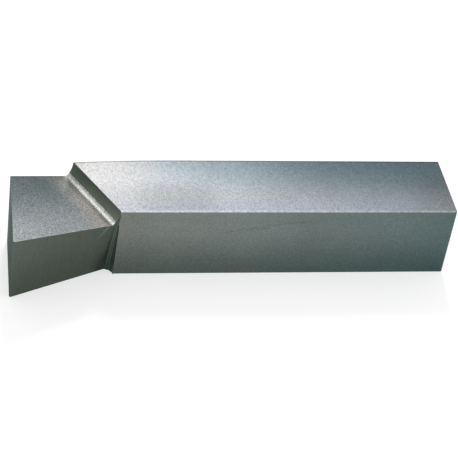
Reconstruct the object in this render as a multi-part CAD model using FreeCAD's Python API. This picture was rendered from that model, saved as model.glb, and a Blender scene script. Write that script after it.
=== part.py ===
import FreeCAD, Part
import math
import os

# Turning tool: a square bar whose end is bent towards the near side and ground to a cutting head.
# Millimetres. The origin is the middle of the shank's seating face, +X runs to the rear end,
# +Z is up, and the head lies at -X, bent towards -Y.

# Bar
section = 25.0  # side of the square
total_length = 140.0  # rear face to the sharp nose
shank_length = 106.0  # rear face to the step's near corner
edge_break = 0.25  # chamfer on the long edges and round the rear face

# Bend of the far side: an arc that leaves the far face before the step
bow_radius = 480.0
bow_lead = 22.0  # start of the arc, behind the step's near corner

# Side flank, ground along the head's near side
side_heading = 22.6  # from the bar's length
side_clearance = 6.5
nose_radius = 0.4

# End flank, ground across the nose
end_heading = 4.5  # from square across the bar
end_clearance = 2.0

# Far flank, ground along the head's far side
far_heading = 13.0
far_clearance = 11.0

# Rake face, falling from the nose to the step
rake_angle = 9.0
step_heading = 26.0  # step line, from square across the bar

# Step: a narrow strip at the foot, left by the wheel's corner, and a hollow-ground wall above it
step_run = 1.9  # foot of the strip to the wall's top edge, level
strip_run = 0.9
strip_rise = 1.0
strip_hollow = 0.12  # depth of the strip's own curve
groove_radius = 0.2  # fine groove where the strip meets the rake face
groove_depth = 0.13

# Run-out of the side flank into the near face: a hollow of narrow wheel passes that fan out downwards
runout_top = 0.8  # width at the top of the bar
runout_base = 3.0  # width at the base
runout_passes = 3
runout_hollow = 0.22  # depth of the whole hollow, as a share of its chord
pass_hollow = 0.18  # depth of one pass, as a share of its own chord
runout_shallow = 0.3  # share of both depths that is left at the top of the bar

# Stock outside the ground faces, and the way that the cuts reach past the stock
allowance = 6.0
clear = 18.0
overrun = 1.0
reach = total_length  # half-length of the cuts that are drawn straight through


def tangent(degrees):
    return math.tan(math.radians(degrees))


def direction(heading):
    """Level direction at an angle from +X towards +Y."""
    angle = math.radians(heading)
    return FreeCAD.Vector(math.cos(angle), math.sin(angle), 0)


# Places of the bar
x_rear = shank_length / 2
x_corner = -shank_length / 2
x_nose = x_rear - total_length
x_bow = x_corner + bow_lead
y_near = -section / 2
y_far = section / 2

# The side flank crosses the near face's top edge where the run-out begins
x_cross = x_corner - runout_top
nose = FreeCAD.Vector(x_nose, y_near - (x_cross - x_nose) * tangent(side_heading), section)

# Directions of the rake face's fall and of the step line, square to it
fall = direction(step_heading)
across = FreeCAD.Vector(-fall.y, fall.x, 0)

# Foot of the step, below and in front of the top edge that starts at the near corner
corner = FreeCAD.Vector(x_corner, y_near, section)
foot_distance = (corner - nose).dot(fall) - step_run
z_foot = section - foot_distance * tangent(rake_angle)
foot = FreeCAD.Vector(corner.x - step_run * fall.x, corner.y - step_run * fall.y, z_foot)


def bow_point(x):
    """Point of the far side's arc at base level."""
    rise = math.sqrt(bow_radius**2 - (x - x_bow) ** 2)
    return FreeCAD.Vector(x, y_far - bow_radius + rise, 0)


def foot_far_end():
    """Point where the step's foot line meets the far side's arc."""
    centre = FreeCAD.Vector(x_bow, y_far - bow_radius, z_foot)
    offset = foot - centre
    along = offset.dot(across)
    reach = -along + math.sqrt(along**2 - offset.dot(offset) + bow_radius**2)
    return foot + across * reach


def bar():
    """The bent bar before grinding, with its edges broken."""
    x_end = x_nose - allowance
    rear_near = FreeCAD.Vector(x_rear, y_near, 0)
    rear_far = FreeCAD.Vector(x_rear, y_far, 0)
    near_bend = FreeCAD.Vector(x_corner, y_near, 0)
    head_near = FreeCAD.Vector(x_end, nose.y - allowance, 0)
    bow_start = bow_point(x_bow)
    bow_end = bow_point(x_end)
    outline = Part.Wire([
        Part.LineSegment(rear_far, rear_near).toShape(),
        Part.LineSegment(rear_near, near_bend).toShape(),
        Part.LineSegment(near_bend, head_near).toShape(),
        Part.LineSegment(head_near, bow_end).toShape(),
        Part.Arc(bow_end, bow_point((x_bow + x_end) / 2), bow_start).toShape(),
        Part.LineSegment(bow_start, rear_far).toShape(),
    ])
    solid = Part.Face(outline).extrude(FreeCAD.Vector(0, 0, section))
    return solid.makeChamfer(edge_break, [edge for edge in solid.Edges if is_broken(edge)])


def is_broken(edge):
    """True for the long edges of the near and far sides and for the edges of the rear face."""
    middle = edge.valueAt((edge.FirstParameter + edge.LastParameter) / 2)
    box = edge.BoundBox
    on_rear = box.XMin > x_rear - overrun
    upright = box.ZLength > section / 2
    on_near = abs(middle.y - y_near) < edge_break and middle.x > x_corner
    on_far = middle.y > 0 and box.XLength > section / 2
    return on_rear or (not upright and (on_near or on_far))


def beyond_plane(point, outward):
    """Block of stock on the outer side of a ground plane."""
    size = 2 * reach
    block = Part.makeBox(size, size, size, FreeCAD.Vector(-reach, -reach, 0))
    block.Placement = FreeCAD.Placement(point, FreeCAD.Rotation(FreeCAD.Vector(0, 0, 1), outward))
    return block


def flank_normal(level_outward, clearance):
    """Outward normal of a flank that leans inwards, from its top edge down, by its clearance."""
    return level_outward + FreeCAD.Vector(0, 0, -tangent(clearance))


def side_flank_point(x, z):
    """Point of the side flank, which leans in towards the base."""
    lean = (section - z) * tangent(side_clearance) / math.cos(math.radians(side_heading))
    return FreeCAD.Vector(x, y_near + (x - x_cross) * tangent(side_heading) + lean, z)


def hollow_edges(start, end, depth_share):
    """Arcs of the wheel passes from one side of the run-out to the other, at one level."""
    chord = end - start
    inward = FreeCAD.Vector(-chord.y, chord.x, 0)
    if inward.y < 0:
        inward = inward * -1

    def on_hollow(share):
        depth = runout_hollow * depth_share * (1 - (2 * share - 1) ** 2)
        return start + chord * share + inward * depth

    edges = []
    for number in range(runout_passes):
        first = on_hollow(number / runout_passes)
        last = on_hollow((number + 1) / runout_passes)
        step = last - first
        dip = FreeCAD.Vector(-step.y, step.x, 0) * (pass_hollow * depth_share)
        if dip.y < 0:
            dip = dip * -1
        edges.append(Part.Arc(first, (first + last) / 2 + dip, last).toShape())
    return edges


def side_profile(z):
    """Outline, at one level, of what the wheel takes off the near side."""
    share_down = (section - z) / section
    width = runout_top + (runout_base - runout_top) * share_down
    flank_end = side_flank_point(x_corner - width, z)
    face_end = FreeCAD.Vector(x_corner, y_near, z)
    flank_start = side_flank_point(x_nose - clear, z)
    y_outside = nose.y - clear
    outer_right = FreeCAD.Vector(face_end.x, y_outside, z)
    outer_left = FreeCAD.Vector(flank_start.x, y_outside, z)
    depth_share = runout_shallow + (1 - runout_shallow) * share_down
    edges = [Part.LineSegment(flank_start, flank_end).toShape()]
    edges += hollow_edges(flank_end, face_end, depth_share)
    edges.append(Part.LineSegment(face_end, outer_right).toShape())
    edges.append(Part.LineSegment(outer_right, outer_left).toShape())
    edges.append(Part.LineSegment(outer_left, flank_start).toShape())
    return Part.Wire(edges)


def side_cut():
    return Part.makeLoft([side_profile(-overrun), side_profile(section + overrun)], True, True)


def end_cut():
    outward = direction(180 - end_heading)
    return beyond_plane(nose, flank_normal(outward, end_clearance))


def far_cut():
    outward = direction(90 + far_heading)
    return beyond_plane(foot_far_end(), flank_normal(outward, far_clearance))


def rake_cut():
    """Rake face, strip and step wall as one wheel profile, drawn along the step line."""

    def at(run, z):
        return FreeCAD.Vector(corner.x + run * fall.x, corner.y + run * fall.y, z)

    wall_run = step_run - strip_run
    z_strip = z_foot + strip_rise
    wall_height = section - z_strip
    wall_radius = (wall_run**2 + wall_height**2) / (2 * wall_run)
    half_turn = math.asin(wall_height / wall_radius) / 2
    wall_middle = at(
        -wall_radius * (1 - math.cos(half_turn)),
        section - wall_radius * math.sin(half_turn),
    )
    strip_middle = at(
        -step_run + strip_run / 2 + strip_hollow,
        z_foot + strip_rise / 2 - strip_hollow,
    )
    before_nose = foot_distance + step_run + clear
    z_before = section + clear * tangent(rake_angle)
    z_above = z_before + clear
    profile = Part.Wire([
        Part.LineSegment(at(-before_nose, z_before), at(-step_run, z_foot)).toShape(),
        Part.Arc(at(-step_run, z_foot), strip_middle, at(-wall_run, z_strip)).toShape(),
        Part.Arc(at(-wall_run, z_strip), wall_middle, at(0, section)).toShape(),
        Part.LineSegment(at(0, section), at(0, z_above)).toShape(),
        Part.LineSegment(at(0, z_above), at(-before_nose, z_above)).toShape(),
        Part.LineSegment(at(-before_nose, z_above), at(-before_nose, z_before)).toShape(),
    ])
    profile.translate(across * -reach)
    return Part.Face(profile).extrude(across * (2 * reach))


def groove_cut():
    """Fine groove along the step's foot."""
    start = foot - across * reach + FreeCAD.Vector(0, 0, groove_radius - groove_depth)
    return Part.makeCylinder(groove_radius, 2 * reach, start, across)


def round_nose(solid):
    """Nose radius along the edge between the side flank and the end flank."""

    def off_nose(edge):
        top = max(edge.Vertexes, key=lambda vertex: vertex.Z).Point
        return (top - nose).Length

    upright = [edge for edge in solid.Edges if edge.BoundBox.ZLength > section / 2]
    return solid.makeFillet(nose_radius, [min(upright, key=off_nose)])


def turning_tool():
    head = bar().cut(side_cut()).cut(end_cut())
    head = round_nose(head)
    head = head.cut(far_cut()).cut(rake_cut()).cut(groove_cut())
    return head.removeSplitter().Solids[0]


os.makedirs("parts", exist_ok=True)
turning_tool().exportStep("parts/turning_tool.step")
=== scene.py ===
import math

import bpy
from mathutils import Matrix, Vector


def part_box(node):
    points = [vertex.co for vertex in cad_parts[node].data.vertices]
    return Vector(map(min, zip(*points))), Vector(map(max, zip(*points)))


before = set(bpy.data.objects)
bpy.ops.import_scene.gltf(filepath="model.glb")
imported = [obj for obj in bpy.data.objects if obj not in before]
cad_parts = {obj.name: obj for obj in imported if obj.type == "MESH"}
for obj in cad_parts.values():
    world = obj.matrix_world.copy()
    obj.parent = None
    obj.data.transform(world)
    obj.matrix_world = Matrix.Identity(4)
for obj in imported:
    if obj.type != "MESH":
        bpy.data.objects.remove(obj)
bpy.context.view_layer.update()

# A bent, ground turning tool of matt high speed steel, seen from the near side and above.
# Metres, in the part's own frame: +X to the rear end, +Z up, the head at -X and bent towards -Y.
# Sizes inside the steel's material are in millimetres. There, a ramp is given as its start and
# end, then its values there unless those are 0 and 1; a noise as the size of its features, its
# lowest and highest usual value, then its detail unless that is 2; a band as its start, its end
# and how far each of them is softened.

MM = 0.001
LOW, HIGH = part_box("turning_tool")
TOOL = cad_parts["turning_tool"]

# Places on the tool, in millimetres
SECTION = HIGH.z / MM
REAR = HIGH.x / MM
HEAD = LOW.x / MM
NOSE = LOW.y / MM
NEAR = -SECTION / 2
FAR = SECTION / 2
EDGE_BREAK = 0.25
STEP_CORNER = Vector((-REAR, NEAR, SECTION))  # near end of the step's top edge
STEP_HEADING = math.radians(26.0)
FALL = Vector((math.cos(STEP_HEADING), math.sin(STEP_HEADING), 0))  # the rake face's way down
ACROSS = Vector((-FALL.y, FALL.x, 0))
STEP_LENGTH = SECTION / ACROSS.y
STRIP_FOOT = -1.9  # level distance from the step's top edge
STRIP_TOP = -1.0
STEP_FOOT_HEIGHT = SECTION - 5.5
STRIP_HEIGHT = STEP_FOOT_HEIGHT + 1.0
FLANK_HEADING = math.radians(22.6)
FLANK_INWARD = Vector((-math.sin(FLANK_HEADING), math.cos(FLANK_HEADING), 0))
FLANK_LEAN = math.tan(math.radians(6.5))
RUNOUT_TOP = 0.8  # width of the hollow between the flank and the shank's side
RUNOUT_BASE = 3.0
RUNOUT_PASSES = 3
BOW_RADIUS = 480.0  # of the far side, from its start towards the head
BOW_START = STEP_CORNER.x + 22.0
RAKE_FAR_END = Vector((-66.66, 11.17, 19.5))  # where the step's foot meets the far side
RAKE_FAR_SLOPE = 0.191

# Camera, fitted to the tool's corners in the photograph
VIEW_AZIMUTH = math.radians(-16.93)
VIEW_ELEVATION = math.radians(39.19)
VIEW_ROLL = math.radians(10.77)
VIEW_TARGET = Vector((-16.89, -5.92, 12.5)) * MM
VIEW_DISTANCE = 695.4 * MM
VIEW_LENS = 176.8
SENSOR = 36.0

# Studio: an even white world and one soft lamp behind the tool
WHITE = (1, 1, 1, 1)
WORLD_LIGHT = 0.75
BACKGROUND_LIGHT = 1.0  # for camera, glossy and transmission rays
FLOOR_RADIUS = 6.0
FLOOR_CORNERS = 96
FLOOR_COLOUR = (0.60, 0.60, 0.60, 1)
FLOOR_GLOW = 0.56  # for camera, glossy and transmission rays
LAMP_TARGET = Vector((-60.0, 0.0, 25.0)) * MM
LAMP_AZIMUTH = math.radians(167.5)
LAMP_ELEVATION = math.radians(48.6)
LAMP_DISTANCE = 850.0 * MM
LAMP_SIZE = 180.0 * MM
LAMP_POWER = 2.4
LAMP_COLOUR = (1.0, 0.95, 0.97)

# Colours of the steel
HEAD_STEEL = (0.187, 0.200, 0.182, 1)
REAR_STEEL = (0.146, 0.190, 0.188, 1)
GRAZING_STEEL = (0.60, 0.66, 0.64, 1)
GRAZING_END = (0.19, 0.25, 0.25, 1)
# Painted shade and light towards the rear: darker sides, a top lighter towards its near edge
REAR_SHADE_SIDE = (0.62, 0.70, 0.71, 1)
REAR_TOP_FAR = (0.82, 0.83, 0.83, 1)
REAR_TOP_NEAR = (1.10, 1.04, 1.01, 1)
REAR_TOP_END = (0.84, 0.81, 0.77, 1)
# Painted light and shade on the top: lighter towards the near edge, darker behind the step
TOP_FAR = (0.64, 0.69, 0.78, 1)
TOP_NEAR = (0.95, 0.895, 0.99, 1)
TOP_HEAD_FAR = (0.90, 0.85, 0.91, 1)
TOP_HEAD_NEAR = (0.90, 0.86, 0.94, 1)
TOP_DARKER = (0.82, 0.83, 0.83, 1)
TOP_EDGE = (1.07, 1.08, 1.14, 1)
# Painted light and shade on the rake face
RAKE_FAR = (0.43, 0.485, 0.55, 1)
RAKE_NEAR = (0.91, 0.94, 1.05, 1)
# Painted shade on the sides, darker towards the base
SIDE_LOW = (0.485, 0.54, 0.52, 1)
SIDE_LOW_REAR = (0.54, 0.63, 0.61, 1)
SIDE_HIGH = (1.00, 0.99, 0.99, 1)
# Painted shade on the ground flanks and the end flank
FLANK_LOW = (0.40, 0.435, 0.40, 1)
FLANK_HIGH = (0.56, 0.58, 0.555, 1)
END_NEAR = (1.20, 1.25, 1.25, 1)
END_FAR = (0.85, 0.94, 1.00, 1)
# Painted shade on the step's wall
WALL_FAR = (0.38, 0.49, 0.42, 1)
WALL_NEAR = (0.85, 0.88, 0.78, 1)
# Bare steel of the streak, and of the broken edges, where it is partly painted highlight
BARE_STEEL_AND_HIGHLIGHT = (0.62, 0.65, 0.67, 1)
DIMMER_EDGE_STEEL = (0.45, 0.44, 0.44, 1)
# Painted highlight on the strip at the step's foot
STRIP_HIGHLIGHT_DARK = (0.42, 0.42, 0.39, 1)
STRIP_HIGHLIGHT_LIGHT = (1.0, 1.0, 0.97, 1)
# Brown heat tint, brightened with painted light
HEAT_TINT_AND_LIGHT = (1.39, 1.18, 1.06, 1)
# Painted shade in the run-out hollow and painted shadow at the flank's foot
HOLLOW_SHADE = (0.35, 0.44, 0.38, 1)
FLANK_FOOT_SHADOW = (0.44, 0.44, 0.45, 1)
# Dark colour of the scratches, and painted shade in the groove
SCRATCH_DARK_AND_GROOVE_SHADE = (0.060, 0.045, 0.038, 1)

# Which face a point is on, by the parts of its normal
SQUARE_ON = (0.8, 0.95)
UPRIGHT = (0.5, 0.2)
FACING_NEAR = (-0.2, -0.45)
FACING_FAR = (0.4, 0.6)
FACING_HEAD = (-0.6, -0.9)
ALONG_STEP = (0.4, 0.2)
SLANTED = (0.88, 0.78)

# Where the faces start and end
BEHIND_STEP = (-0.5, -0.2)
STEP_BAND = (STRIP_FOOT, 0.0, 0.04)
ABOVE_STEP_FOOT = (STEP_FOOT_HEIGHT - 0.3, STEP_FOOT_HEIGHT)
WALL_START = (STRIP_TOP - 0.05, STRIP_TOP + 0.05)
END_FLANK_START = (-78.0, -80.0)
RUNOUT_START = (0.1, -0.1)
BREAK_START = (STEP_CORNER.x, STEP_CORNER.x + 0.2)

# Painted light and shade on the plain steel towards the rear
REAR_TOP_ALONG = (-15.0, 12.0)
REAR_TOP_ACROSS = (2.0, -10.0)
REAR_TOP_END_ALONG = (36.0, REAR)
REAR_TOP_END_ACROSS = (9.0, 0.0)
REAR_SIDE_ALONG = (20.0, REAR + 9.0)
REAR_FACE_SHARE = 0.6

# Painted light and shade on the top and on the rake face
SHADE_SOFT = 5.0
TOP_ACROSS = (0.9 * FAR, 0.5 * NEAR)
TOP_HEAD_ACROSS = (0.7 * FAR, 0.7 * NEAR)
TOP_HEAD_ALONG = (STEP_CORNER.x, STEP_CORNER.x + SECTION)
TOP_DARKER_ALONG = (-46.0, -24.0, SHADE_SOFT)
TOP_DARKER_ACROSS = (5.0, -3.0)
TOP_EDGE_ACROSS = (-6.0, -11.5)
RAKE_ACROSS = (SECTION, 0.0)

# Painted shade on the sides, the flanks and the step's wall
SIDE_ALONG = (STEP_CORNER.x, REAR)
SIDE_UP = (0.0, 0.75 * SECTION)
SIDE_LIGHTER_ALONG = (-40.0, -6.0, SHADE_SOFT)
SIDE_LIGHTER = 0.06
SIDE_DARKER_ALONG = (2.0, 33.0, SHADE_SOFT)
SIDE_DARKER = 0.07
FLANK_UP = (0.0, SECTION)
END_DIAGONAL = (0.8, 1.5)
NOSE_LIGHTER = (-72.0, -86.0, 1.0, 1.1)
WALL_ALONG = (STEP_LENGTH, 0.4 * STEP_LENGTH)
WALL_DOWN = (SECTION - 0.5, STRIP_HEIGHT, 0.92, 1.3)
WALL_NEAR_END = (9.0, 1.0, 1.0, 1.16)

# Grain, its painted glints and the lines
USUAL_NOISE = (0.3, 0.7)
CLOUDS = (9.0, 0.97, 1.03)
GRAIN = (0.36, -1.0, 1.0)
RAKE_GRAIN = (0.42, -1.0, 1.0)
SIDE_GRAIN_STRENGTH = 0.20
FLANK_GRAIN_STRENGTH = 0.14
RAKE_GRAIN_STRENGTH = 0.50
TOP_GRAIN_ALONG = (-10.0, 30.0, 0.32, 0.29)
GLINT_SIZE = 0.5
GLINTS = (0.75, 1.3)
GLINT_STRENGTH = 0.5
DRAWN_STRETCH = (0.03, 1.0, 1.0)
DRAWN_LINES = (0.7, 0.975, 1.025)
GROUND_STRETCH = (1.0, 1.0, 0.03)
GROUND_LINES = (0.45, 0.94, 1.06)

# Heat tint, brightened with painted light, and a band of painted light on the rake face
HEAT_RAGGED = (4.0, -1.5, 1.5)
HEAT_REACH = (-12.0, -2.5)
PAINTED_LIGHT_REACH = (-9.5, STRIP_FOOT)
PAINTED_LIGHT_ALONG = (3.0, 20.0, 1.28, 2.3)
PAINTED_LIGHT_FAR_END = (21.0, 27.0, 0.0, 1.1)
PAINTED_LIGHT_FOOT = (-3.6, -2.4, 1.0, 1.4)
LIGHTER_REACH = (-14.0, -7.0)
LIGHTER_ALONG = (6.0, 20.0, 0.0, 0.14)

# Painted highlight on the strip and painted shade in the groove
STRIP_RAGGED = (0.6, -0.17, 0.17)
STRIP_EDGE = (STRIP_HEIGHT + 0.5, STRIP_HEIGHT + 0.15)
STRIP_SPECKLE = (0.4, -0.3, 1.0, 4.0)
STRIP_ALONG = (STEP_LENGTH, 0.6 * STEP_LENGTH, -0.4, 0.3)
STRIP_LIGHTNESS = (0.0, 0.8)
GROOVE_EDGE = (STEP_FOOT_HEIGHT + 0.7, STEP_FOOT_HEIGHT + 0.3)
GROOVE_RUN = STRIP_FOOT - 0.02
GROOVE_HALF_WIDTH = 0.24
GROOVE_SHARE = 0.95

# Painted shade in the run-out hollow and painted shadow on the flank beside it
FLANK_FOOT_ALONG = (-61.0, -56.5)
FLANK_FOOT_UP = (11.0, 1.0)
HOLLOW_BAND = (0.0, 0.97, 0.06)
RIDGE_BAND = (0.2, 0.8, 0.05)
RIDGE_HALF_WIDTH = 0.3
RIDGE_SHARE = 0.45

# Scratches on the shank and streak on the flank
SCRATCH_HEIGHT = 20.3  # of the long scratch at X 0
SCRATCH_SLOPE = 0.138
SCRATCH_BEND = -0.0023
LONG_SCRATCH_HALF_WIDTH = 0.28
LONG_SCRATCH_ALONG = (-21.0, 7.0, 2.0)
SHORT_SCRATCH_BELOW = 0.8
SHORT_SCRATCH_HALF_WIDTH = 0.24
SHORT_SCRATCH_ALONG = (-15.0, -6.0, 1.5)
SCRATCH_BROKEN = (1.2, 0.3, 1.0)
SCRATCH_SHARE = 0.5
STREAK_BASE = 68.95  # how far before X 0 the streak's line meets the base
STREAK_SLOPE = 0.648
STREAK_HALF_WIDTH = 0.85
STREAK_FOOT = (14.0, 15.5)
STREAK_UP = (15.0, 19.5, 0.06, 0.18)

# Painted shade on the far rims, and worn edges with painted highlight
TOP_RIM = (0.7, 0.2)
RAKE_RIM = (0.6, 0.2)
RIM_SHADE = 0.5
WORN_WIDTH = (1.8 * EDGE_BREAK, 1.0 * EDGE_BREAK)
WORN_START = (STEP_CORNER.x - 0.1, STEP_CORNER.x + 0.1)
DIMMER_EDGE_ALONG = (-20.0, REAR)
WEAR = (0.7, 0.35, 1.0)
BREAK_WEAR = 0.7
CUTTING_EDGE_WIDTH = (0.4, 0.1)
CUTTING_EDGE_HIGHLIGHT = 1.2

# Gloss and bump
ROUGH_ACROSS = (-20.0, FAR, 0.44, 0.29)
ROUGH_SPOTS = (0.6, -0.02, 0.02)
ROUGH_STEP = (STRIP_TOP - 0.1, STRIP_TOP + 0.3, 0.28, 0.6)
STRIP_METALLIC = 0.6
WALL_METALLIC = 0.5
BUMP_GRAIN = (0.36, 0.0, 1.0, 3.0)
BUMP_ACROSS = (0.0, FAR, 0.6, 0.3)
BUMP_DEPTH = 0.02 * MM


class Nodes:
    """Short calls for building a material out of shader nodes."""

    def __init__(self, name):
        self.material = bpy.data.materials.new(name)
        self.material.use_nodes = True
        self.tree = self.material.node_tree
        self.shader = self.tree.nodes["Principled BSDF"]

    def put(self, socket, value):
        if isinstance(value, bpy.types.NodeSocket):
            self.tree.links.new(value, socket)
        else:
            socket.default_value = value

    def add(self, kind, inputs, **settings):
        node = self.tree.nodes.new("ShaderNode" + kind)
        for name, value in settings.items():
            setattr(node, name, value)
        for name, value in inputs.items():
            self.put(node.inputs[name], value)
        return node

    def maths(self, operation, *values):
        return self.add("Math", dict(enumerate(values)), operation=operation).outputs[0]

    def plus(self, first, second):
        return self.maths("ADD", first, second)

    def minus(self, first, second):
        return self.maths("SUBTRACT", first, second)

    def times(self, *values):
        product = values[0]
        for value in values[1:]:
            product = self.maths("MULTIPLY", product, value)
        return product

    def without(self, value):
        """What is left of 1."""
        return self.minus(1.0, value)

    def along(self, place, direction):
        """How far a place lies along a direction."""
        inputs = {0: place, 1: direction}
        return self.add("VectorMath", inputs, operation="DOT_PRODUCT").outputs["Value"]

    def stretched(self, place, factors):
        """A place with each coordinate times its factor, where a small one draws noise out."""
        inputs = {0: place, 1: factors}
        return self.add("VectorMath", inputs, operation="MULTIPLY").outputs["Vector"]

    def ramp(self, value, start, end, low=0.0, high=1.0):
        """Smooth change from low, at start, to high, at end, and level beyond them."""
        inputs = {"Value": value, "From Min": start, "From Max": end, "To Min": low, "To Max": high}
        return self.add("MapRange", inputs, interpolation_type="SMOOTHSTEP").outputs["Result"]

    def within(self, value, start, end, soft):
        """1 between start and end, 0 outside them."""
        after = self.ramp(value, start - soft, start + soft)
        before = self.ramp(value, end + soft, end - soft)
        return self.times(after, before)

    def line(self, offset, half_width):
        """1 where the offset from a line is 0, falling to 0 at the half width."""
        return self.ramp(self.maths("ABSOLUTE", offset), half_width, 0.0)

    def noise(self, place, size, low=0.0, high=1.0, detail=2.0):
        """Noise with features of about a size, its usual range stretched from low to high."""
        inputs = {"Vector": place, "Scale": 1 / size, "Detail": detail}
        value = self.add("TexNoise", inputs).outputs["Fac"]
        start, end = USUAL_NOISE
        inputs = {"Value": value, "From Min": start, "From Max": end, "To Min": low, "To Max": high}
        return self.add("MapRange", inputs).outputs["Result"]

    def blend(self, share, first, second):
        """Number between first and second."""
        return self.add("Mix", {0: share, 2: first, 3: second}).outputs[0]

    def mix(self, share, first, second, blend_type="MIX"):
        """Colour between first and second."""
        node = self.add("Mix", {}, data_type="RGBA", blend_type=blend_type)
        self.put(node.inputs["Factor"], share)
        colours = [socket for socket in node.inputs if socket.type == "RGBA"]
        self.put(colours[0], first)
        self.put(colours[1], second)
        return next(socket for socket in node.outputs if socket.type == "RGBA")

    def tint(self, share, colour, filter_colour):
        return self.mix(share, colour, filter_colour, "MULTIPLY")

    def brighten(self, colour, factor):
        grey = self.add("CombineColor", {0: factor, 1: factor, 2: factor}).outputs[0]
        return self.tint(1.0, colour, grey)


class SteelPlace:
    """Where a point of the tool lies and which face it is on, as values that the finish depends on."""

    def __init__(self, nodes):
        coordinates = nodes.add("TexCoord", {})
        inputs = {0: coordinates.outputs["Object"], "Scale": 1 / MM}
        self.point = nodes.add("VectorMath", inputs, operation="SCALE").outputs["Vector"]
        self.x, self.y, self.z = nodes.add("SeparateXYZ", {0: self.point}).outputs
        self.facing = coordinates.outputs["Normal"]
        components = nodes.add("SeparateXYZ", {0: self.facing}).outputs
        self.facing_rear, self.facing_far, self.facing_up = components
        self.find_upper_faces(nodes)
        self.find_step(nodes)
        self.find_runout(nodes)
        self.find_sides(nodes)
        self.find_broken_edges(nodes)
        self.find_depths(nodes)

    def find_upper_faces(self, nodes):
        """Distances from the step's top edge and along it, the faces that look up and the rake face."""
        self.run = nodes.minus(nodes.along(self.point, FALL), STEP_CORNER.dot(FALL))
        self.far = nodes.minus(nodes.along(self.point, ACROSS), STEP_CORNER.dot(ACROSS))
        self.behind_step = nodes.ramp(self.run, *BEHIND_STEP)
        self.up = nodes.ramp(self.facing_up, *SQUARE_ON)
        self.rake = nodes.times(self.up, nodes.without(self.behind_step))

    def find_step(self, nodes):
        """The whole step, which is strip and wall, and its wall alone."""
        facing_across = nodes.maths("ABSOLUTE", nodes.along(self.facing, ACROSS))
        inside_step = nodes.within(self.run, *STEP_BAND)
        above_foot = nodes.ramp(self.z, *ABOVE_STEP_FOOT)
        self.step = nodes.times(inside_step, above_foot, nodes.ramp(facing_across, *ALONG_STEP))
        self.wall = nodes.times(self.step, nodes.ramp(self.run, *WALL_START))

    def find_runout(self, nodes):
        """Place in the hollow of the run-out: 0 at the flank and 1 at the shank's side."""
        lean = nodes.times(nodes.minus(SECTION, self.z), (RUNOUT_TOP - RUNOUT_BASE) / SECTION)
        start = nodes.plus(lean, STEP_CORNER.x - RUNOUT_TOP)
        width = nodes.minus(STEP_CORNER.x, start)
        self.runout = nodes.maths("DIVIDE", nodes.minus(self.x, start), width)

    def find_sides(self, nodes):
        """The upright faces, and of them the near ones, the end, the ground flanks and the rear."""
        self.sideways = nodes.ramp(self.facing_up, *UPRIGHT)
        facing_near = nodes.ramp(self.facing_far, *FACING_NEAR)
        self.near_side = nodes.times(self.sideways, facing_near, nodes.without(self.step))
        facing_head = nodes.ramp(self.facing_rear, *FACING_HEAD)
        self.end = nodes.times(facing_head, nodes.ramp(self.x, *END_FLANK_START))
        near_flank = nodes.times(self.near_side, nodes.ramp(self.runout, *RUNOUT_START))
        self.ground = nodes.maths("MAXIMUM", near_flank, self.end)
        self.rear = nodes.ramp(self.facing_rear, *SQUARE_ON)

    def find_broken_edges(self, nodes):
        """The slanted breaks of the shank's edges and of the far side's."""
        squarest = nodes.maths("ABSOLUTE", self.facing_up)
        for component in (self.facing_rear, self.facing_far):
            squarest = nodes.maths("MAXIMUM", squarest, nodes.maths("ABSOLUTE", component))
        on_shank = nodes.ramp(self.x, *BREAK_START)
        with_break = nodes.maths("MAXIMUM", on_shank, nodes.ramp(self.facing_far, *FACING_FAR))
        self.broken_edge = nodes.times(nodes.ramp(squarest, *SLANTED), with_break)

    def find_depths(self, nodes):
        """How far a point lies inside the top's far edge, the rake face's far edge and the flank."""
        bent = nodes.maths("MINIMUM", nodes.minus(self.x, BOW_START), 0.0)
        bow = nodes.times(bent, bent, 0.5 / BOW_RADIUS)
        self.inside_far_edge = nodes.minus(FAR - EDGE_BREAK, nodes.plus(self.y, bow))
        rake_edge = nodes.times(nodes.minus(self.x, RAKE_FAR_END.x), RAKE_FAR_SLOPE)
        self.inside_rake_edge = nodes.minus(nodes.plus(rake_edge, RAKE_FAR_END.y), self.y)
        flank_start = STEP_CORNER - Vector((RUNOUT_TOP, 0, 0))
        inward = nodes.along(self.point, FLANK_INWARD)
        off_flank = nodes.minus(inward, flank_start.dot(FLANK_INWARD))
        lean = nodes.times(nodes.minus(SECTION, self.z), FLANK_LEAN)
        self.inside_flank = nodes.minus(off_flank, lean)


def view_turn(azimuth, elevation, roll):
    """Turn of a camera or lamp that stands at an azimuth, 0 on the near side, and looks at the tool."""
    level = Matrix.Rotation(azimuth, 4, "Z")
    tilt = Matrix.Rotation(math.radians(90) - elevation, 4, "X")
    return level @ tilt @ Matrix.Rotation(roll, 4, "Z")


def stand_off(thing, turn, target, distance):
    """Puts a camera or lamp at a distance from its target, looking at it."""
    place = target + turn.to_3x3() @ Vector((0, 0, distance))
    thing.matrix_world = Matrix.Translation(place) @ turn
    bpy.context.scene.collection.objects.link(thing)


def add_camera():
    data = bpy.data.cameras.new("camera")
    data.sensor_width = SENSOR
    data.lens = VIEW_LENS
    camera = bpy.data.objects.new("camera", data)
    stand_off(camera, view_turn(VIEW_AZIMUTH, VIEW_ELEVATION, VIEW_ROLL), VIEW_TARGET, VIEW_DISTANCE)
    bpy.context.scene.camera = camera


def add_lamp():
    data = bpy.data.lights.new("soft_box", "AREA")
    data.shape = "DISK"
    data.size = LAMP_SIZE
    data.energy = LAMP_POWER
    data.color = LAMP_COLOUR
    lamp = bpy.data.objects.new("soft_box", data)
    stand_off(lamp, view_turn(LAMP_AZIMUTH, LAMP_ELEVATION, 0), LAMP_TARGET, LAMP_DISTANCE)
    lamp.visible_camera = False


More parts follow.
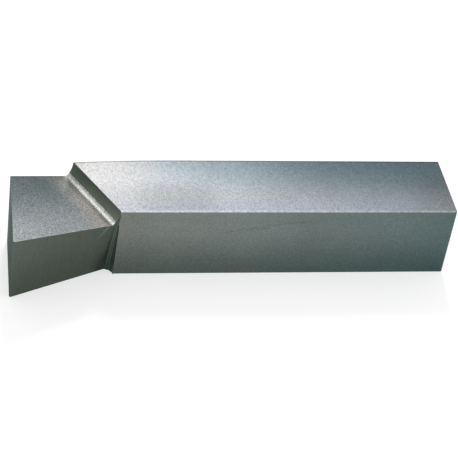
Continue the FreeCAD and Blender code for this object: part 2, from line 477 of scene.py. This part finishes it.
def seen_directly(tree):
    """1 for camera, glossy and transmission rays, 0 for the rays that light things."""
    path = tree.nodes.new("ShaderNodeLightPath")
    share = path.outputs["Is Camera Ray"]
    for name in ("Is Glossy Ray", "Is Transmission Ray"):
        either = tree.nodes.new("ShaderNodeMath")
        either.operation = "MAXIMUM"
        tree.links.new(share, either.inputs[0])
        tree.links.new(path.outputs[name], either.inputs[1])
        share = either.outputs[0]
    return share


def add_world():
    world = bpy.data.worlds.new("studio")
    world.use_nodes = True
    tree = world.node_tree
    strength = tree.nodes.new("ShaderNodeMapRange")
    strength.inputs["To Min"].default_value = WORLD_LIGHT
    strength.inputs["To Max"].default_value = BACKGROUND_LIGHT
    background = tree.nodes["Background"]
    background.inputs["Color"].default_value = WHITE
    tree.links.new(seen_directly(tree), strength.inputs["Value"])
    tree.links.new(strength.outputs["Result"], background.inputs["Strength"])
    bpy.context.scene.world = world


def add_floor():
    turns = [2 * math.pi * number / FLOOR_CORNERS for number in range(FLOOR_CORNERS)]
    ring = [(FLOOR_RADIUS * math.cos(turn), FLOOR_RADIUS * math.sin(turn), 0) for turn in turns]
    mesh = bpy.data.meshes.new("floor")
    mesh.from_pydata(ring, [], [tuple(range(FLOOR_CORNERS))])
    nodes = Nodes("floor")
    shader = nodes.shader
    nodes.put(shader.inputs["Base Color"], FLOOR_COLOUR)
    nodes.put(shader.inputs["Roughness"], 1.0)
    nodes.put(shader.inputs["Specular IOR Level"], 0.0)
    nodes.put(shader.inputs["Emission Color"], WHITE)
    nodes.put(shader.inputs["Emission Strength"], nodes.times(seen_directly(nodes.tree), FLOOR_GLOW))
    mesh.materials.append(nodes.material)
    floor = bpy.data.objects.new("floor", mesh)
    bpy.context.scene.collection.objects.link(floor)


def plain_steel(nodes, place):
    """Matt steel, warmer at the head and cooler to the rear, with painted shade, mostly darker to the
    rear.
    """
    colour = nodes.mix(nodes.ramp(place.x, HEAD, REAR), HEAD_STEEL, REAR_STEEL)
    top_shade = nodes.mix(nodes.ramp(place.y, *REAR_TOP_ACROSS), REAR_TOP_FAR, REAR_TOP_NEAR)
    colour = nodes.tint(nodes.times(place.up, nodes.ramp(place.x, *REAR_TOP_ALONG)), colour, top_shade)
    end_along = nodes.ramp(place.x, *REAR_TOP_END_ALONG)
    end_across = nodes.ramp(place.y, *REAR_TOP_END_ACROSS)
    colour = nodes.tint(nodes.times(place.up, end_along, end_across), colour, REAR_TOP_END)
    share = nodes.blend(place.rear, 1.0, REAR_FACE_SHARE)
    on_sides = nodes.times(nodes.ramp(place.x, *REAR_SIDE_ALONG), share)
    return nodes.tint(nodes.minus(on_sides, nodes.times(on_sides, place.up)), colour, REAR_SHADE_SIDE)


def with_top_shades(nodes, place, colour):
    """Painted light and shade on the top: lighter towards its near edge, darker behind the step."""
    by_step = nodes.mix(nodes.ramp(place.y, *TOP_HEAD_ACROSS), TOP_HEAD_FAR, TOP_HEAD_NEAR)
    top = nodes.mix(nodes.ramp(place.y, *TOP_ACROSS), TOP_FAR, TOP_NEAR)
    top = nodes.mix(nodes.ramp(place.x, *TOP_HEAD_ALONG), by_step, top)
    colour = nodes.tint(nodes.times(place.up, place.behind_step), colour, top)
    darker_patch = nodes.times(nodes.within(place.x, *TOP_DARKER_ALONG), nodes.ramp(place.y, *TOP_DARKER_ACROSS))
    colour = nodes.tint(nodes.times(darker_patch, place.up), colour, TOP_DARKER)
    by_edge = nodes.times(nodes.ramp(place.y, *TOP_EDGE_ACROSS), place.up, place.behind_step)
    return nodes.tint(by_edge, colour, TOP_EDGE)


def with_rake_shade(nodes, place, colour):
    """Painted light and shade on the rake face, lighter towards the side flank."""
    rake = nodes.mix(nodes.ramp(place.inside_flank, *RAKE_ACROSS), RAKE_FAR, RAKE_NEAR)
    return nodes.tint(place.rake, colour, rake)


def with_side_shades(nodes, place, colour):
    """Painted shade and light on the sides: darker towards the base, with a lighter and a darker
    stretch.
    """
    side_low = nodes.mix(nodes.ramp(place.x, *SIDE_ALONG), SIDE_LOW, SIDE_LOW_REAR)
    side = nodes.mix(nodes.ramp(place.z, *SIDE_UP), side_low, SIDE_HIGH)
    lighter = nodes.times(nodes.within(place.x, *SIDE_LIGHTER_ALONG), SIDE_LIGHTER)
    darker_stretch = nodes.times(nodes.within(place.x, *SIDE_DARKER_ALONG), SIDE_DARKER)
    side = nodes.brighten(side, nodes.plus(nodes.minus(lighter, darker_stretch), 1.0))
    return nodes.tint(nodes.minus(place.sideways, place.ground), colour, side)


def with_flank_shades(nodes, place, colour):
    """Painted shade on the ground flanks, darker towards the base, and painted light at the nose."""
    flank = nodes.mix(nodes.ramp(place.z, *FLANK_UP), FLANK_LOW, FLANK_HIGH)
    colour = nodes.tint(place.ground, colour, flank)
    height = nodes.times(place.z, 1 / SECTION)
    depth = nodes.times(nodes.minus(place.y, NOSE), 1 / (FAR - NOSE))
    end = nodes.mix(nodes.ramp(nodes.plus(height, depth), *END_DIAGONAL), END_NEAR, END_FAR)
    colour = nodes.tint(place.end, colour, end)
    return nodes.brighten(colour, nodes.ramp(place.x, *NOSE_LIGHTER))


def with_wall_shade(nodes, place, colour):
    """Painted shade on the step's wall, lighter towards the strip and towards its near end."""
    wall = nodes.mix(nodes.ramp(place.far, *WALL_ALONG), WALL_FAR, WALL_NEAR)
    lightness = nodes.times(nodes.ramp(place.z, *WALL_DOWN), nodes.ramp(place.far, *WALL_NEAR_END))
    return nodes.tint(place.wall, colour, nodes.brighten(wall, lightness))


def with_grain(nodes, place, colour):
    """Fine blasted grain, strongest on the rake face, which has small painted glints too, and faint
    clouds.
    """
    clouds = nodes.noise(place.point, *CLOUDS)
    grain = nodes.noise(place.point, *GRAIN)
    grain = nodes.blend(place.rake, grain, nodes.noise(place.point, *RAKE_GRAIN))
    on_sides = nodes.blend(place.ground, SIDE_GRAIN_STRENGTH, FLANK_GRAIN_STRENGTH)
    off_rake = nodes.blend(place.up, on_sides, nodes.ramp(place.x, *TOP_GRAIN_ALONG))
    strength = nodes.blend(place.rake, off_rake, RAKE_GRAIN_STRENGTH)
    glints = nodes.ramp(nodes.noise(place.point, GLINT_SIZE), *GLINTS)
    glints = nodes.times(glints, place.rake, GLINT_STRENGTH)
    speckled = nodes.plus(nodes.times(grain, strength), glints)
    return nodes.brighten(colour, nodes.times(clouds, nodes.plus(speckled, 1.0)))


def with_lines(nodes, place, colour):
    """Faint drawn lines along the shank's sides and upright grinding lines on the flanks."""
    drawn = nodes.noise(nodes.stretched(place.point, DRAWN_STRETCH), *DRAWN_LINES)
    ground = nodes.noise(nodes.stretched(place.point, GROUND_STRETCH), *GROUND_LINES)
    lines = nodes.blend(place.sideways, 1.0, nodes.blend(place.ground, drawn, ground))
    return nodes.brighten(colour, lines)


def with_heat_tint_and_painted_light(nodes, place, colour):
    """Brown heat tint brightened with painted light, and a band of painted light on the rake, by the
    step.
    """
    reach = nodes.plus(place.run, nodes.noise(place.point, *HEAT_RAGGED))
    near_step = nodes.ramp(reach, *HEAT_REACH)
    colour = nodes.tint(nodes.times(place.rake, near_step), colour, HEAT_TINT_AND_LIGHT)
    # Painted light on the rake face beside the step
    far_end = nodes.ramp(place.far, *PAINTED_LIGHT_FAR_END)
    most = nodes.minus(nodes.ramp(place.far, *PAINTED_LIGHT_ALONG), far_end)
    painted_light = nodes.blend(nodes.ramp(place.run, *PAINTED_LIGHT_REACH), 1.0, most)
    painted_light = nodes.times(painted_light, nodes.ramp(place.run, *PAINTED_LIGHT_FOOT))
    lighter = nodes.times(nodes.ramp(place.run, *LIGHTER_REACH), nodes.ramp(place.far, *LIGHTER_ALONG))
    painted_light = nodes.times(painted_light, nodes.plus(lighter, 1.0))
    return nodes.brighten(colour, nodes.blend(place.rake, 1.0, painted_light))


def with_strip_highlight(nodes, place, colour):
    """Painted highlight: the bright strip at the step's foot, ragged above and dimmer at its far end.
    """
    ragged = nodes.plus(place.z, nodes.noise(place.point, *STRIP_RAGGED))
    share = nodes.times(place.step, nodes.ramp(ragged, *STRIP_EDGE))
    speckle = nodes.noise(place.point, *STRIP_SPECKLE)
    speckle = nodes.plus(speckle, nodes.ramp(place.far, *STRIP_ALONG))
    lightness = nodes.ramp(speckle, *STRIP_LIGHTNESS)
    return nodes.mix(share, colour, nodes.mix(lightness, STRIP_HIGHLIGHT_DARK, STRIP_HIGHLIGHT_LIGHT))


def with_groove(nodes, place, colour):
    """Painted shade: dark line in the groove between the rake face and the strip."""
    low = nodes.ramp(place.z, *GROOVE_EDGE)
    line = nodes.line(nodes.minus(place.run, GROOVE_RUN), GROOVE_HALF_WIDTH)
    line = nodes.times(line, nodes.without(place.sideways), low)
    return nodes.mix(nodes.times(line, GROOVE_SHARE), colour, SCRATCH_DARK_AND_GROOVE_SHADE)


def with_runout(nodes, place, colour):
    """Painted shadow at the flank's foot, and painted shade in the hollow, lighter on the ridges
    between passes.
    """
    beside = nodes.times(nodes.ramp(place.x, *FLANK_FOOT_ALONG), nodes.ramp(place.z, *FLANK_FOOT_UP))
    colour = nodes.tint(nodes.times(place.near_side, place.ground, beside), colour, FLANK_FOOT_SHADOW)
    inside = nodes.times(place.near_side, nodes.within(place.runout, *HOLLOW_BAND))
    darkened = nodes.tint(1.0, colour, HOLLOW_SHADE)
    passes = nodes.times(place.runout, RUNOUT_PASSES)
    ridge = nodes.line(nodes.minus(passes, nodes.maths("ROUND", passes)), RIDGE_HALF_WIDTH)
    ridge = nodes.times(ridge, nodes.within(place.runout, *RIDGE_BAND))
    return nodes.mix(inside, colour, nodes.mix(nodes.times(ridge, RIDGE_SHARE), darkened, colour))


def with_scratches(nodes, place, colour):
    """Two faint scratches on the shank's side, side by side."""
    bent = nodes.times(place.x, nodes.plus(nodes.times(place.x, SCRATCH_BEND), SCRATCH_SLOPE))
    off_scratch = nodes.minus(nodes.minus(place.z, SCRATCH_HEIGHT), bent)
    long_one = nodes.line(off_scratch, LONG_SCRATCH_HALF_WIDTH)
    long_one = nodes.times(long_one, nodes.within(place.x, *LONG_SCRATCH_ALONG))
    short_one = nodes.line(nodes.plus(off_scratch, SHORT_SCRATCH_BELOW), SHORT_SCRATCH_HALF_WIDTH)
    short_one = nodes.times(short_one, nodes.within(place.x, *SHORT_SCRATCH_ALONG))
    broken = nodes.noise(place.point, *SCRATCH_BROKEN)
    scratch = nodes.times(nodes.maths("MAXIMUM", long_one, short_one), broken, place.near_side)
    return nodes.mix(nodes.times(scratch, SCRATCH_SHARE), colour, SCRATCH_DARK_AND_GROOVE_SHADE)


def with_streak(nodes, place, colour):
    """A light streak on the side flank, strongest at its upper end."""
    off_streak = nodes.minus(nodes.plus(place.x, STREAK_BASE), nodes.times(place.z, STREAK_SLOPE))
    height = nodes.times(nodes.ramp(place.z, *STREAK_FOOT), nodes.ramp(place.z, *STREAK_UP))
    streak = nodes.times(nodes.line(off_streak, STREAK_HALF_WIDTH), height, place.near_side)
    return nodes.mix(streak, colour, BARE_STEEL_AND_HIGHLIGHT)


def with_far_edges(nodes, place, colour):
    """Painted shade: a dark rim on the far edges of the top and of the rake face."""
    top = nodes.times(nodes.ramp(place.inside_far_edge, *TOP_RIM), place.behind_step)
    rake = nodes.times(nodes.ramp(place.inside_rake_edge, *RAKE_RIM), place.rake)
    rim = nodes.times(nodes.maths("MAXIMUM", top, rake), place.up)
    return nodes.mix(rim, colour, nodes.brighten(colour, RIM_SHADE))


def with_worn_edges(nodes, place, colour):
    """Broken edges partly worn bare, partly painted highlight, dimmer to the rear; cutting edge painted
    highlight.
    """
    beside = nodes.maths("ABSOLUTE", nodes.minus(place.y, NEAR))
    below = nodes.maths("ABSOLUTE", nodes.minus(place.z, SECTION))
    near_edge = nodes.ramp(nodes.plus(beside, below), *WORN_WIDTH)
    near_edge = nodes.times(near_edge, nodes.ramp(place.x, *WORN_START))
    worn_and_highlight = nodes.mix(nodes.ramp(place.x, *DIMMER_EDGE_ALONG), BARE_STEEL_AND_HIGHLIGHT, DIMMER_EDGE_STEEL)
    edge = nodes.maths("MAXIMUM", near_edge, nodes.times(place.broken_edge, BREAK_WEAR))
    colour = nodes.mix(nodes.times(edge, nodes.noise(place.point, *WEAR)), colour, worn_and_highlight)
    # Painted highlight along the cutting edge
    cutting_edge = nodes.times(nodes.ramp(place.inside_flank, *CUTTING_EDGE_WIDTH), place.rake)
    return nodes.brighten(colour, nodes.blend(cutting_edge, 1.0, CUTTING_EDGE_HIGHLIGHT))


def steel_roughness(nodes, place):
    """Coarser towards the near side, smooth on the strip and coarsest on the step's wall."""
    across = nodes.ramp(place.y, *ROUGH_ACROSS)
    across = nodes.plus(across, nodes.noise(place.point, *ROUGH_SPOTS))
    return nodes.blend(place.step, across, nodes.ramp(place.run, *ROUGH_STEP))


def steel_bump(nodes, place):
    """Normal of the blasted surface, weaker towards the far side."""
    height = nodes.noise(place.point, *BUMP_GRAIN)
    strength = nodes.ramp(place.y, *BUMP_ACROSS)
    inputs = {"Strength": strength, "Distance": BUMP_DEPTH, "Height": height}
    return nodes.add("Bump", inputs).outputs["Normal"]


def dress_tool():
    nodes = Nodes("tool_steel")
    place = SteelPlace(nodes)
    colour = plain_steel(nodes, place)
    layers = [
        with_top_shades,
        with_rake_shade,
        with_side_shades,
        with_flank_shades,
        with_wall_shade,
        with_grain,
        with_lines,
        with_heat_tint_and_painted_light,
        with_runout,
        with_scratches,
        with_streak,
        with_groove,
        with_strip_highlight,
        with_far_edges,
        with_worn_edges,
    ]
    for layer in layers:
        colour = layer(nodes, place, colour)
    shader = nodes.shader
    nodes.put(shader.inputs["Base Color"], colour)
    metallic = nodes.blend(place.step, 1.0, STRIP_METALLIC)
    nodes.put(shader.inputs["Metallic"], nodes.blend(place.wall, metallic, WALL_METALLIC))
    nodes.put(shader.inputs["Specular Tint"], nodes.mix(place.end, GRAZING_STEEL, GRAZING_END))
    nodes.put(shader.inputs["Roughness"], steel_roughness(nodes, place))
    nodes.put(shader.inputs["Normal"], steel_bump(nodes, place))
    TOOL.data.materials[0] = nodes.material


bpy.context.scene.view_settings.view_transform = "Standard"
add_camera()
add_lamp()
add_world()
add_floor()
dress_tool()
